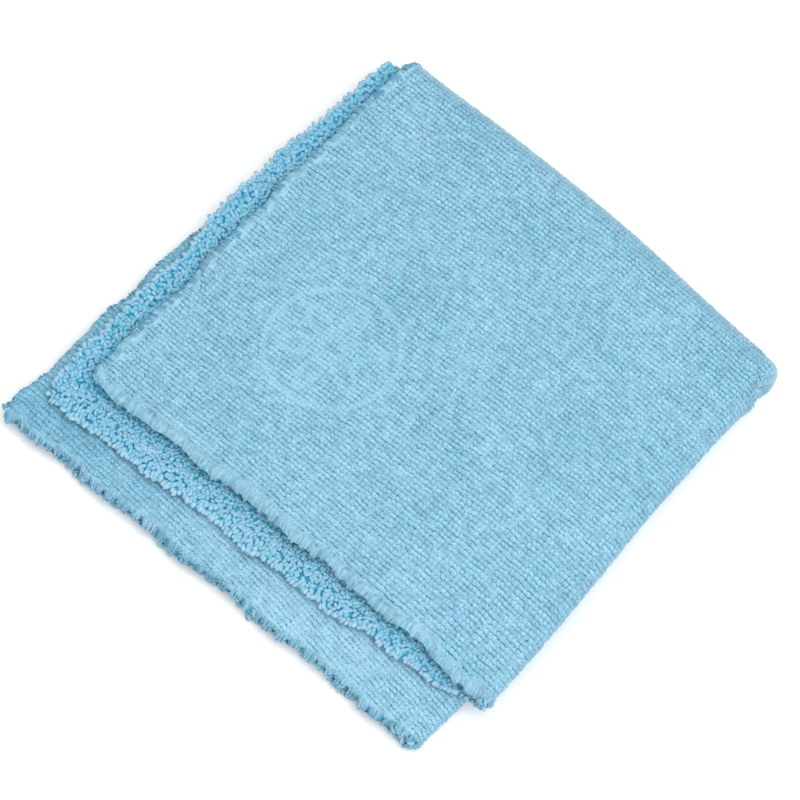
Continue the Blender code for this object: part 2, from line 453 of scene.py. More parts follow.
def new_group(name, inputs, outputs):
    """A shader node group with named sockets, and its input and output nodes."""
    tree = bpy.data.node_groups.new(name, "ShaderNodeTree")
    for label, kind in inputs:
        tree.interface.new_socket(label, in_out="INPUT", socket_type=kind)
    for label, kind in outputs:
        tree.interface.new_socket(label, in_out="OUTPUT", socket_type=kind)
    return tree, tree.nodes.new("NodeGroupInput"), tree.nodes.new("NodeGroupOutput")


# Colours of the yarn, linear, by depth: its dye with painted shade deep between the yarns and on their
# flanks, then on top, and a painted highlight at the highest stop
DYE_AND_SHADE = ((0.0, (0.018, 0.150, 0.270, 1)), (0.35, (0.092, 0.295, 0.425, 1)),
       (0.7, (0.210, 0.440, 0.580, 1)), (1.0, (0.338, 0.570, 0.700, 1)))
LILAC = (0.370, 0.475, 0.670, 1)
SEA = (0.165, 0.480, 0.520, 1)
AZURE = (0.050, 0.450, 0.665, 1)      # of light that has gone from yarn to yarn inside the pile

# The yarn's colour by depth, tone and hue: low depth is painted shade and the highest a painted highlight;
# tone and hue vary it
dye_and_shade, dye_shade_in, dye_shade_out = new_group(
    "yarn dye and painted shade", (("Depth", "NodeSocketFloat"), ("Tone", "NodeSocketFloat"), ("Hue", "NodeSocketFloat")),
    (("Color", "NodeSocketColor"),))
ramp = add(dye_and_shade, "ShaderNodeValToRGB", dye_shade_in.outputs["Depth"])
ramp.color_ramp.elements[0].position, ramp.color_ramp.elements[0].color = DYE_AND_SHADE[0]
ramp.color_ramp.elements[1].position, ramp.color_ramp.elements[1].color = DYE_AND_SHADE[-1]
for position, colour in DYE_AND_SHADE[1:-1]:
    ramp.color_ramp.elements.new(position).color = colour
lilac_share = sums(dye_and_shade, "MULTIPLY", remap(dye_and_shade, dye_shade_in.outputs["Hue"], 0.55, 1.0), 0.40)
sea_share = sums(dye_and_shade, "MULTIPLY", remap(dye_and_shade, dye_shade_in.outputs["Hue"], 0.40, 0.0), 0.35)
tinted = tint(dye_and_shade, sea_share, tint(dye_and_shade, lilac_share, ramp.outputs["Color"], LILAC), SEA)
brightness = remap(dye_and_shade, dye_shade_in.outputs["Tone"], 0.0, 1.0, 0.88, 1.12)
shaded = tint(dye_and_shade, 1.0, tinted, brightness, way="MULTIPLY")
dye_and_shade.links.new(shaded, dye_shade_out.inputs["Color"])

pads, pads_in, pads_out = new_group(
    "pebbled knit", (("Stitches", "NodeSocketVector"), ("Plain", "NodeSocketFloat"),
                     ("Open", "NodeSocketFloat")),
    (("Height", "NodeSocketFloat"), ("Depth", "NodeSocketFloat"), ("Tone", "NodeSocketFloat"),
     ("Hue", "NodeSocketFloat")))
STRAY = 0.50           # how far a pad's middle strays from the lattice, in stitches
# Painted shade: how much depth a gap between the pads takes away, and how much more where the knit opens
GAP_DARK, OPEN_DARK = 1.95, 0.50       # depth that a gap takes away, and how much more where the knit opens
wander = add(pads, "ShaderNodeTexNoise", pads_in.outputs["Stitches"], None, 0.3, 2.0)
shift = add(pads, "ShaderNodeVectorMath", wander.outputs["Color"], (0.5, 0.5, 0.5), operation="SUBTRACT")
nudge = add(pads, "ShaderNodeVectorMath", shift.outputs[0], operation="SCALE")
nudge.inputs["Scale"].default_value = 0.9
walked = add(pads, "ShaderNodeVectorMath", pads_in.outputs["Stitches"], nudge.outputs[0], operation="ADD")
place = add(pads, "ShaderNodeSeparateXYZ", walked.outputs[0])
row_place = sums(pads, "SUBTRACT", place.outputs["Y"], 0.5 + STRAY / 2)
row = sums(pads, "FLOOR", row_place)
in_row = sums(pads, "FRACT", row_place)
slipped = sums(pads, "MULTIPLY_ADD", in_row, 0.25, place.outputs["X"])
column_place = sums(pads, "SUBTRACT", slipped, 0.5 + STRAY / 2)
column = sums(pads, "FLOOR", column_place)
in_column = sums(pads, "FRACT", column_place)
cell = add(pads, "ShaderNodeCombineXYZ", column, row, 0.0).outputs[0]
chance = add(pads, "ShaderNodeSeparateColor",
             add(pads, "ShaderNodeTexWhiteNoise", cell, noise_dimensions="2D").outputs["Color"])
slipped_place = add(pads, "ShaderNodeCombineXYZ", slipped, place.outputs["Y"], 0.0).outputs[0]
scales = add(pads, "ShaderNodeTexVoronoi", slipped_place, voronoi_dimensions="2D",
             feature="DISTANCE_TO_EDGE")
scales.inputs["Scale"].default_value = 1.0
scales.inputs["Randomness"].default_value = STRAY
to_side = scales.outputs["Distance"]


def brim(tree, share, power):
    """Nearness to the sides of one cell: |2s - 1|^power."""
    return sums(tree, "POWER", sums(tree, "ABSOLUTE", sums(tree, "MULTIPLY_ADD", share, 2.0, -1.0)), power)


dash_place = add(pads, "ShaderNodeCombineXYZ", sums(pads, "MULTIPLY", place.outputs["X"], 0.6),
                 sums(pads, "MULTIPLY", row, 5.7), 0.0).outputs[0]
dash = add(pads, "ShaderNodeTexNoise", dash_place, None, 1.0, 1.0).outputs["Fac"]
crosswise = sums(pads, "MULTIPLY_ADD", brim(pads, in_column, 2.0), 0.45, 0.55)
along_row = sums(pads, "MULTIPLY", sums(pads, "MULTIPLY", brim(pads, in_row, 3.0), crosswise),
                 remap(pads, dash, 0.42, 0.58, 0.25, 1.15))
along_column = sums(pads, "MULTIPLY", sums(pads, "MULTIPLY_ADD", chance.outputs[1], 0.18, 0.02),
                    sums(pads, "SUBTRACT", 1.0, pads_in.outputs["Plain"]))
# Painted shade in the gaps between the pads, darkest along the rows and where the gaps meet
gap = sums(pads, "MULTIPLY", remap(pads, to_side, 0.12, 0.03),
           sums(pads, "MAXIMUM", along_row, along_column))
dome = remap(pads, to_side, 0.0, 0.22)
valley = sums(pads, "MULTIPLY", sums(pads, "SUBTRACT", 1.0, dome),
              sums(pads, "MULTIPLY_ADD", brim(pads, in_row, 2.0), 0.85, 0.15))
# A painted highlight along one side of each pad, where a rounded stitch catches the light
glint_band = remap(pads, sums(pads, "ABSOLUTE", sums(pads, "SUBTRACT", in_row, 0.68)), 0.22, 0.0)
painted_glint = sums(pads, "MULTIPLY", sums(pads, "MULTIPLY", glint_band, dome),
             sums(pads, "MULTIPLY", sums(pads, "SUBTRACT", 1.0, in_column),
                  sums(pads, "MULTIPLY_ADD", chance.outputs[0], 0.50, 0.15)))
darkness = sums(pads, "MULTIPLY_ADD", pads_in.outputs["Open"], -OPEN_DARK, -GAP_DARK)
pad_depth = sums(pads, "MULTIPLY_ADD", gap, darkness, sums(pads, "ADD", painted_glint, 0.76))
blotch = add(pads, "ShaderNodeTexNoise", pads_in.outputs["Stitches"], None, 0.5, 2.0)
blotches = add(pads, "ShaderNodeSeparateColor", blotch.outputs["Color"])
pads.links.new(sums(pads, "SUBTRACT", 1.0, valley), pads_out.inputs["Height"])
pads.links.new(pad_depth, pads_out.inputs["Depth"])
pads.links.new(mix(pads, 0.20, remap(pads, blotches.outputs[0], 0.25, 0.75), chance.outputs[2]),
               pads_out.inputs["Tone"])
pads.links.new(remap(pads, blotches.outputs[1], 0.2, 0.8, 0.22, 0.78), pads_out.inputs["Hue"])


def fabric_material(name, roughness, gloss):
    """A material with its Principled shader set for matt fibre, its tree and that shader."""
    material = bpy.data.materials.new(name)
    material.use_nodes = True
    shader = material.node_tree.nodes["Principled BSDF"]
    shader.inputs["Roughness"].default_value = roughness
    shader.inputs["Specular IOR Level"].default_value = gloss / 2
    shader.inputs["Sheen Weight"].default_value = gloss * 2
    shader.inputs["Sheen Roughness"].default_value = 0.4
    shader.inputs["Sheen Tint"].default_value = (0.85, 0.94, 1.0, 1)
    return material, material.node_tree, shader


def dye_with_painted_shade(tree, depth, tone, hue):
    """Colour of the yarn's dye at this depth between the yarns, tone and hue, with painted shade where it
    lies deep and a painted highlight at the top.
    """
    return add(tree, "ShaderNodeGroup", depth, tone, hue, node_tree=dye_and_shade).outputs["Color"]


def finish(tree, shader, colour, relief=None, strength=0.0, deep=0.0):
    """Feed the shader its colour and, where there is a relief, a bump so many millimetres deep."""
    tree.links.new(colour, shader.inputs["Base Color"])
    if relief is not None:
        bump = add(tree, "ShaderNodeBump")
        bump.inputs["Strength"].default_value = strength
        bump.inputs["Distance"].default_value = deep * MM
        tree.links.new(relief, bump.inputs["Height"])
        tree.links.new(bump.outputs["Normal"], shader.inputs["Normal"])


# The knit side: rows of pads, a fuzzy band along each cut edge with two plain rows behind it, and a
# pressed rosette, a ring around six petals, where the fibres are flattened. Its places are counted in
# stitches from the top layer's left and front edges and run on over the folds.
# OPEN_BACK and OPEN_LEFT: where the painted shade in the gaps between the pads grows deeper
OPEN_BACK, OPEN_LEFT = (62.0, 86.0), (24.0, 8.0)       # where the gaps between the pads grow darker
# Below the folds the two lower layers are matted: their grain grows coarser, and their colour is pulled
# towards painted light, and towards painted shade at the third layer's left edge
MATTED_LIT_BACK, MATTED_LIT_THIRD = (92.0, 100.0), (112.0, 122.0)      # where wear mats the two lower layers
PAINTED_LIGHT_LEFT = (205.0, 135.0)                           # where the matted knit grows lighter from the left
ROSETTE_PLACE = (31.2, 34.5)
RING_RADIUS, RING_WIDTH = 13.2, 1.15
PETAL_COUNT, PETAL_MIDDLE, PETAL_HALF_LENGTH, PETAL_HALF_WIDTH = 6, 6.3, 3.9, 1.7

knit, tree, shader = fabric_material("knit", 0.92, 0.30)
cloth_place = add(tree, "ShaderNodeUVMap", uv_map="Stitches").outputs["UV"]
bands = add(tree, "ShaderNodeSeparateXYZ", add(tree, "ShaderNodeUVMap", uv_map="Bands").outputs["UV"])
frayed = add(tree, "ShaderNodeTexNoise", cloth_place, None, 0.6, 2.0).outputs["Fac"]
fray = sums(tree, "MULTIPLY_ADD", frayed, 0.5, -0.25)
from_left = sums(tree, "ADD", bands.outputs["X"], fray)
from_front = sums(tree, "ADD", bands.outputs["Y"], fray)
nearest = sums(tree, "MINIMUM", from_left, from_front)
band = remap(tree, nearest, 1.06, 0.86)
plain = remap(tree, bands.outputs["Y"], 1.75, 1.6)
cloth_parts = add(tree, "ShaderNodeSeparateXYZ", cloth_place)
opened = sums(tree, "MAXIMUM", remap(tree, cloth_parts.outputs["Y"], *OPEN_BACK),
              remap(tree, cloth_parts.outputs["X"], *OPEN_LEFT, 0.0, 0.5))
knitted = add(tree, "ShaderNodeGroup", cloth_place, plain, opened, node_tree=pads)
matted_and_lit = sums(tree, "MULTIPLY", remap(tree, cloth_parts.outputs["Y"], *MATTED_LIT_BACK),
              remap(tree, cloth_parts.outputs["X"], *MATTED_LIT_THIRD, 0.20, 0.42))

lengthwise = add(tree, "ShaderNodeMapping", cloth_place, None, None, (4.2, 0.45, 1.0))
crosswise = add(tree, "ShaderNodeMapping", cloth_place, None, None, (0.45, 4.2, 1.0))
front_hairs = add(tree, "ShaderNodeTexNoise", lengthwise.outputs[0], None, 1.0, 3.0).outputs["Fac"]
left_hairs = add(tree, "ShaderNodeTexNoise", crosswise.outputs[0], None, 1.0, 3.0).outputs["Fac"]
leftmost = sums(tree, "LESS_THAN", from_left, from_front)
hairs = mix(tree, leftmost, front_hairs, left_hairs)

off = add(tree, "ShaderNodeVectorMath", cloth_place, (*ROSETTE_PLACE, 0.0), operation="SUBTRACT")
reach = add(tree, "ShaderNodeVectorMath", off.outputs[0], operation="LENGTH").outputs["Value"]
off_parts = add(tree, "ShaderNodeSeparateXYZ", off.outputs[0])
bearing = sums(tree, "ARCTAN2", off_parts.outputs["Y"], off_parts.outputs["X"])
sector = 2 * math.pi / PETAL_COUNT
turned = sums(tree, "SUBTRACT", sums(tree, "FLOORED_MODULO", bearing, sector), sector / 2)
long_way = sums(tree, "MULTIPLY_ADD", reach, sums(tree, "COSINE", turned), -PETAL_MIDDLE)
wide_way = sums(tree, "MULTIPLY", reach, sums(tree, "SINE", turned))
petal = sums(tree, "SQRT", sums(
    tree, "ADD", sums(tree, "POWER", sums(tree, "DIVIDE", long_way, PETAL_HALF_LENGTH), 2.0),
    sums(tree, "POWER", sums(tree, "DIVIDE", wide_way, PETAL_HALF_WIDTH), 2.0)))
petal_rim = remap(tree, sums(tree, "ABSOLUTE", sums(tree, "SUBTRACT", petal, 1.0)), 0.42, 0.14)
beside = sums(tree, "ABSOLUTE", sums(tree, "SUBTRACT", reach, RING_RADIUS))
pressed = sums(tree, "MAXIMUM", sums(tree, "MAXIMUM", petal_rim, remap(tree, petal, 1.0, 0.8, 0.0, 0.3)),
               remap(tree, beside, RING_WIDTH * 0.75, RING_WIDTH * 0.25))

cloud = add(tree, "ShaderNodeTexNoise", cloth_place, None, 0.07, 3.0).outputs["Fac"]
fuzz = add(tree, "ShaderNodeTexNoise", cloth_place, None, 3.2, 3.0, 0.75).outputs["Fac"]
pressed = sums(tree, "MULTIPLY", pressed, sums(tree, "MULTIPLY_ADD", fuzz, 0.5, 0.5))
relief = mix(tree, band, knitted.outputs["Height"], sums(tree, "MULTIPLY_ADD", hairs, 0.5, 0.55))
relief = mix(tree, sums(tree, "MULTIPLY", pressed, 0.8), relief, 0.15)
relief = sums(tree, "MULTIPLY_ADD", fuzz, 0.15, relief)
# Painted shade near the third layer's left edge, painted light further from it, where the knit is matted
painted_light_depth = remap(tree, cloth_parts.outputs["X"], *PAINTED_LIGHT_LEFT, 0.40, 1.06)
depth = mix(tree, matted_and_lit, knitted.outputs["Depth"], painted_light_depth)
depth = mix(tree, band, depth, sums(tree, "MULTIPLY_ADD", hairs, 0.40, 0.62))
depth = mix(tree, sums(tree, "MULTIPLY", pressed, 0.52), depth, 0.93)
depth = sums(tree, "MULTIPLY_ADD", sums(tree, "SUBTRACT", cloud, 0.5), 0.36, depth)
depth = sums(tree, "MULTIPLY_ADD", sums(tree, "SUBTRACT", fuzz, 0.5),
             sums(tree, "MULTIPLY_ADD", matted_and_lit, 0.7, 1.9), depth)
tone = mix(tree, pressed, knitted.outputs["Tone"], 0.6)
hue = mix(tree, pressed, knitted.outputs["Hue"], 0.5)
finish(tree, shader, dye_with_painted_shade(tree, depth, tone, hue), relief, 0.45, 0.4)

# The ground under the pile and the cut edge: the same yarn, with painted shade where it lies deep under the
# loops and a painted azure tint of the light that comes through them
ground, tree, shader = fabric_material("pile ground", 1.0, 0.0)
place_here = add(tree, "ShaderNodeTexCoord").outputs["Object"]
lumps = add(tree, "ShaderNodeTexNoise", place_here, None, 900.0, 2.0).outputs["Fac"]
coloured = dye_with_painted_shade(tree, sums(tree, "MULTIPLY_ADD", lumps, 0.9, -0.15), 0.5, 0.4)
finish(tree, shader, tint(tree, 0.4, coloured, AZURE), lumps, 0.6, 0.6)

cloth = new_piece("cloth_sheet", points, [faces], (knit, ground))
set_map(cloth, "Stitches", np.concatenate([knit_places, knit_places] + [rim_places] * len(RIM_SHARES)))
set_map(cloth, "Bands", np.concatenate([band_shares, band_shares] + [rim_bands] * len(RIM_SHARES)))
wears = np.ones(len(faces), dtype=np.int32)
wears[:len(cells)] = 0
wears[2 * len(cells):2 * len(cells) + around] = 0
cloth.data.polygons.foreach_set("material_index", wears)
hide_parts("cloth")


# === The loop pile =================================================================================
# Short twisted loops of the same yarn, close together, standing on the pile side. They are made one
# by one where they show: on the second layer's stepped margin and along all the cut edges. Those at
# an edge lean out over it and hang down.

LOOP_PITCH = 1.5
LOOP_SIDES = 6
LOOP_TURNS = (0.0, 0.1, 0.34, 0.66, 0.9, 1.0)      # shares of the arch from one foot to the other
LOOP_ROOT = LAYER - GROUND + 0.5                   # the feet stand in the ground
FOOT_JITTER = 0.22                                 # of a foot off its place in the rows
SIZES, SPANS, RADII = (0.85, 1.15), (0.5, 1.5), (0.62, 0.78)   # of a loop, of its arch and of its yarn
TIP_DROP = 0.8                                     # the most that a loop is shorter than the highest
LEANING, TURNING = 0.35, 0.5                       # how far loops lean and turn at random, mm and radians
EDGE_RUFFLE, EDGE_RHYTHM = 0.7, 1.9                # of the loops at a front edge: height and pace
PRESSED_DOWN, PRESSED_REACH = 0.8, 3.5             # of the pile beside the top layer's edge
# Painted light and shade on the loops: LIT_DEPTH is how far below a loop's tip the painted shade deepens,
# SHADE adds painted shade near a left edge, UNDERSIDE is painted light on loops that hang out over an edge
LIT_DEPTH = 2.0                                    # how far below a loop's tip its colour turns deep
SHADE, SHADE_REACH = 0.5, 50.0                     # how much less that is at a left edge, and how far in
UNDERSIDE, UNDERSIDE_REACH = 0.3, 1.6              # light on the side of a loop that hangs over an edge

# The stretches of cloth that carry loops one by one: the four layers, and the folds between them, each
# named by the layer it comes from and the one it goes to and with the radius that arcs are counted on
Fold = namedtuple("Fold", "start end arc_radius across_side")
FOLDS = {
    "upper_fold": Fold("top", "second", 3.0, True),
    "lower_fold": Fold("bottom", "third", 3.0, True),
    "outer_back": Fold("top", "bottom", 7.6, False),
    "inner_back": Fold("second", "third", 3.2, False),
}
FLIPPED = ("second", "bottom", "lower_fold", "inner_back")     # mirrored, so their faces turn around

# How the loops next to a cut edge differ: where their first row stands, how far they lean out, how far
# their tips draw back towards the knit, over what distance, and how thick they are there and inside
Fringe = namedtuple("Fringe", "seed first_left first_front lean back reach edge_size inner_size")
FRINGES = {
    "top": Fringe(11, 3.0, 5.6, 0.3, 0.3, 4.0, 1.0, 1.0),
    "second": Fringe(12, -0.6, 0.0, 1.3, 0.6, 5.0, 1.3, 1.0),
    "third": Fringe(13, 1.6, 1.8, 0.8, 0.5, 4.0, 1.1, 1.0),
    "bottom": Fringe(14, 0.6, 0.0, 1.8, 1.2, 5.0, 1.3, 1.0),
    "upper_fold": Fringe(15, 0.4, 0.4, 0.9, 0.2, 4.0, 0.9, 0.9),
    "lower_fold": Fringe(16, 0.4, 0.2, 1.9, 0.6, 4.0, 1.2, 1.0),
    "outer_back": Fringe(17, 1.8, 0.4, 0.3, 0.2, 4.0, 1.0, 1.0),
    "inner_back": Fringe(18, -0.3, 0.4, 1.2, 0.6, 4.0, 1.2, 1.0),
}
FOLD_MARGIN = 8.0


def on_cloth(stretch, left, front, height):
    """Points of one stretch of cloth: by distance from its left and front edges on a layer, and on a
    fold by arc length around it in place of the one that runs across it."""
    if stretch in LAYERS:
        own = LAYERS[stretch]
        return folded(1 - left / own.width, np.full_like(left, own.side_turn),
                      1 - front / own.depth, np.full_like(left, own.back_turn), height)
    fold = FOLDS[stretch]
    own, other = LAYERS[fold.start], LAYERS[fold.end]
    if fold.across_side:
        turn = left / fold.arc_radius
        return folded(np.zeros_like(left), turn, 1 - front / blend(turn, own.depth, other.depth),
                      np.full_like(left, own.back_turn), height)
    turn = front / fold.arc_radius
    return folded(1 - left / blend(turn, own.width, other.width), np.full_like(left, own.side_turn),
                  np.zeros_like(left), turn, height)


def loop_roots(stretch, fringe, rng):
    """Feet of a stretch's loops: a jittered triangular lattice over the margins of its cut edges."""
    if stretch in LAYERS:
        margin, wide, deep = MARGINS[stretch], LAYERS[stretch].width, LAYERS[stretch].depth
    else:
        arc = math.pi * FOLDS[stretch].arc_radius
        wide, deep = (arc, FOLD_MARGIN) if FOLDS[stretch].across_side else (FOLD_MARGIN, arc)
        margin = Margin(wide, deep)
    rank = LOOP_PITCH * math.sqrt(3) / 2
    line, step = np.meshgrid(np.arange(int((deep - fringe.first_front) / rank) + 1),
                             np.arange(int((wide - fringe.first_left) / LOOP_PITCH) + 1), indexing="ij")
    left = fringe.first_left + (step + 0.5 * (line % 2)) * LOOP_PITCH
    front = fringe.first_front + line * rank
    left = left + rng.normal(0.0, FOOT_JITTER, left.shape)
    front = front + rng.normal(0.0, FOOT_JITTER, left.shape)
    shown = ((left < margin.left) | (front < margin.front)) & (left < wide) & (front < deep)
    return left[shown], front[shown]


def under_step(places):
    """How much the top layer's edge presses the pile beneath: 1 under it, and outside it a Gaussian
    of the distance from its left and front edges."""
    x, y = places[:, 0], places[:, 1]
    back, front = (curve_through(FRONTS, "x", column, x) for column in ("back", "top"))
    side = curve_through(SIDES, "away", "top", np.clip((back - y) / (back - front), 0.0, 1.0))
    outside = np.maximum(np.maximum(front - y, side - x), 0.0)
    return near(outside, PRESSED_REACH)


def tubes(centres, sides, radii, flatten):
    """Closed tubes: around each centreline (tube, station, 3), rings of `sides` points in the plane
    of the two directions across it, drawn in to a point at both ends."""
    ahead = np.gradient(centres, axis=1)
    ahead /= np.maximum(np.linalg.norm(ahead, axis=-1, keepdims=True), TINY)
    flat = np.cross(ahead, flatten)
    flat /= np.maximum(np.linalg.norm(flat, axis=-1, keepdims=True), TINY)
    other = np.cross(flat, ahead)
    angle = np.linspace(0.0, 2 * math.pi, sides, endpoint=False)
    ring = (np.cos(angle)[:, None] * flat[:, 1:-1, None, :] * radii[0][:, 1:-1, None, None]
            + np.sin(angle)[:, None] * other[:, 1:-1, None, :] * radii[1][:, 1:-1, None, None])
    rings = (centres[:, 1:-1, None, :] + ring).reshape(len(centres), -1, 3)
    return np.concatenate([centres[:, :1], rings, centres[:, -1:]], axis=1)


def tube_faces(count, stations, sides, flip):
    """Faces of such tubes: quads between the rings, and triangles at both points."""
    per = (stations - 2) * sides + 2
    turn = np.arange(sides)
    onward = np.roll(turn, -1)
    walls = np.concatenate([np.stack([1 + k * sides + turn, 1 + k * sides + onward,
                                      1 + (k + 1) * sides + onward, 1 + (k + 1) * sides + turn], axis=-1)
                            for k in range(stations - 3)])
    last = 1 + (stations - 3) * sides
    starts = np.stack([np.zeros(sides, dtype=int), 1 + onward, 1 + turn], axis=-1)
    ends = np.stack([np.full(sides, per - 1), last + turn, last + onward], axis=-1)
    base = (np.arange(count) * per)[:, None, None]
    walls = (base + walls).reshape(-1, 4)
    tips = (base + np.concatenate([starts, ends])).reshape(-1, 3)
    return (walls[:, ::-1], tips[:, ::-1]) if flip else (walls, tips)


def paint(piece, name, values):
    """Store three numbers for each vertex as a colour attribute."""
    layer = piece.data.color_attributes.new(name, "FLOAT_COLOR", "POINT")
    layer.data.foreach_set("color", np.column_stack([values, np.ones(len(values))]).ravel())


def painted_yarn(tree):
    """The light, tone and hue that paint() stored for the yarn, as three sockets."""
    painted = add(tree, "ShaderNodeAttribute", attribute_name="Yarn")
    return add(tree, "ShaderNodeSeparateColor", painted.outputs["Color"]).outputs[:3]


loop_yarn, tree, shader = fabric_material("loop yarn", 1.0, 0.0)
light, tone, hue = painted_yarn(tree)
place_here = add(tree, "ShaderNodeTexCoord").outputs["Object"]
fibres = add(tree, "ShaderNodeTexNoise", place_here, None, 2600.0, 2.0).outputs["Fac"]
depth = sums(tree, "MULTIPLY_ADD", sums(tree, "SUBTRACT", fibres, 0.5), 0.25,
             sums(tree, "MULTIPLY_ADD", light, 0.50, 0.50))
coloured = dye_with_painted_shade(tree, depth, tone, hue)
# Painted light: the lower a place on a loop, the more of the azure of light bounced between the yarns is
# painted in
painted_bounce = remap(tree, light, 0.85, 0.20, 0.0, 0.92)
finish(tree, shader, tint(tree, painted_bounce, coloured, AZURE), fibres, 0.5, 0.3)


def part_of(stretch, spots, sides, light, tone, hue):
    """One part of a piece, from its tubes' points in the stretch's own distances (tube, point, 3) and
    from their light, tone and hue, each by tube or by point: points, walls, tips and yarn colours."""
    count, per = spots.shape[:2]
    walls, tips = tube_faces(count, (per - 2) // sides + 2, sides, stretch in FLIPPED)
    colours = [np.broadcast_to(each.reshape(count, -1), (count, per)).ravel()
               for each in (light, tone, hue)]
    return on_cloth(stretch, *spots.reshape(-1, 3).T), walls, tips, np.column_stack(colours)


def from_cuts(stretch, left, front):
    """Distances from a stretch's left and front cut edges. A fold has only one of the two, so the
    distance from the other is held far."""
    far = np.full_like(left, FOLD_MARGIN)
    if stretch in LAYERS:
        return left, front
    return (far, front) if FOLDS[stretch].across_side else (left, far)


def loop_pile(stretch, fringe):
    """The part that one stretch's loops make. A loop's centreline is an arch sin(pi s)^0.55 high and
    cos(pi s) wide between its feet."""
    rng = np.random.default_rng(fringe.seed)
    left, front = loop_roots(stretch, fringe, rng)
    count = len(left)
    margin = MARGINS.get(stretch, Margin(FOLD_MARGIN, FOLD_MARGIN))
    off_left, off_front = from_cuts(stretch, left, front)
    out_left, out_front = (np.clip(1 - off / fringe.reach, 0.0, 1.2) for off in (off_left, off_front))
    edge = np.maximum(out_left, out_front)
    yaw = np.where(edge > 0.3, math.pi / 2 * (out_front > out_left) + rng.normal(0.0, TURNING, count),
                   rng.uniform(0.0, math.pi, count))
    inwards = np.clip(np.minimum(off_left / margin.left, off_front / margin.front), 0.0, 1.0)
    size = fringe.edge_size + (fringe.inner_size - fringe.edge_size) * inwards
    size = size * rng.uniform(*SIZES, count)
    span = rng.uniform(*SPANS, count) * size
    thick = rng.uniform(*RADII, count) * size
    pressed = under_step(on_cloth(stretch, left, front, LAYER)) * (stretch == "second")
    tip = (rng.uniform(0.0, TIP_DROP, count) + fringe.back * edge * rng.uniform(0.5, 1.2, count)
           + PRESSED_DOWN * pressed)
    lean_left = rng.normal(0.0, LEANING, count) - fringe.lean * out_left * rng.uniform(0.5, 1.1, count)
    lean_front = (rng.normal(0.0, LEANING, count) - fringe.lean * out_front * rng.uniform(0.8, 1.2, count)
                  + EDGE_RUFFLE * out_front * ruffle(EDGE_RHYTHM * left, fringe.seed))
    share = np.array(LOOP_TURNS)[None, :]
    arch = np.broadcast_to(np.sin(math.pi * share) ** 0.55, (count, len(LOOP_TURNS)))
    swing = np.cos(math.pi * share) * span[:, None] / 2
    centres = np.stack([left[:, None] + swing * np.cos(yaw)[:, None] + lean_left[:, None] * arch,
                        front[:, None] + swing * np.sin(yaw)[:, None] + lean_front[:, None] * arch,
                        LOOP_ROOT - (LOOP_ROOT - tip[:, None] - thick[:, None]) * arch], axis=-1)
    across = np.stack([-np.sin(yaw), np.cos(yaw), np.zeros(count)], axis=-1)[:, None, :]
    radii = thick[:, None] * np.ones_like(arch)
    spots = tubes(centres, LOOP_SIDES, (radii, radii), across)
    # The loops' colour is painted light and shade: lighter towards each loop's tip, painted shade below it
    # and more near a left edge, painted light where a loop hangs beyond the cut edge
    beyond = np.minimum(*from_cuts(stretch, spots[..., 0], spots[..., 1]))
    lit = (LIT_DEPTH - SHADE * np.exp(-np.maximum(left, 0.0) / SHADE_REACH))[:, None]
    painted_lit_share = np.maximum(np.clip(1 - (spots[..., 2] - 0.6 * tip[:, None] - 0.2) / lit, 0.0, 1.0),
                       np.clip(UNDERSIDE - beyond / UNDERSIDE_REACH, 0.0, 0.9))
    tone, hue = (rng.uniform(low, 1.0, count) for low in (0.35, 0.0))
    return part_of(stretch, spots, LOOP_SIDES, painted_lit_share, tone, hue)


def joined_piece(name, parts, material):
    """One object of several parts. No point hangs lower than what the cloth lies on."""
    starts = np.cumsum([0] + [len(part[0]) for part in parts[:-1]])
    points = np.maximum(np.concatenate([part[0] for part in parts]), (-np.inf, -np.inf, 0.0))
    face_lists = [part[kind] + start for part, start in zip(parts, starts) for kind in (1, 2)]
    piece = new_piece(name, points, face_lists, (material,))
    paint(piece, "Yarn", np.concatenate([part[3] for part in parts]))
    return piece


PILE_PIECES = {"pile_top": ("top", "upper_fold"), "pile_second": ("second", "inner_back"),
               "pile_third": ("third", "lower_fold"), "pile_bottom": ("bottom", "outer_back")}
pile_pieces = [joined_piece(name, [loop_pile(stretch, FRINGES[stretch]) for stretch in stretches],
                            loop_yarn)
               for name, stretches in PILE_PIECES.items()]


# === The cut edges =================================================================================
# Where the knit is cut its yarns open into fine fibres, brushed outwards side by side: a pale, soft
# band, broadest along the top layer's front edge. At the corners loops are pulled out in clumps.

STRAND_SIDES = 4
STRAND_SHARES = (0.0, 0.06, 0.35, 0.65, 0.9, 1.0)      # of a fibre's way from its root to its tip
STRAND_FLAT, STRAND_TAPER = 0.55, 0.35                 # thickness over width, and width lost at the tip
UPRIGHT = np.array([0.0, 0.0, 1.0])

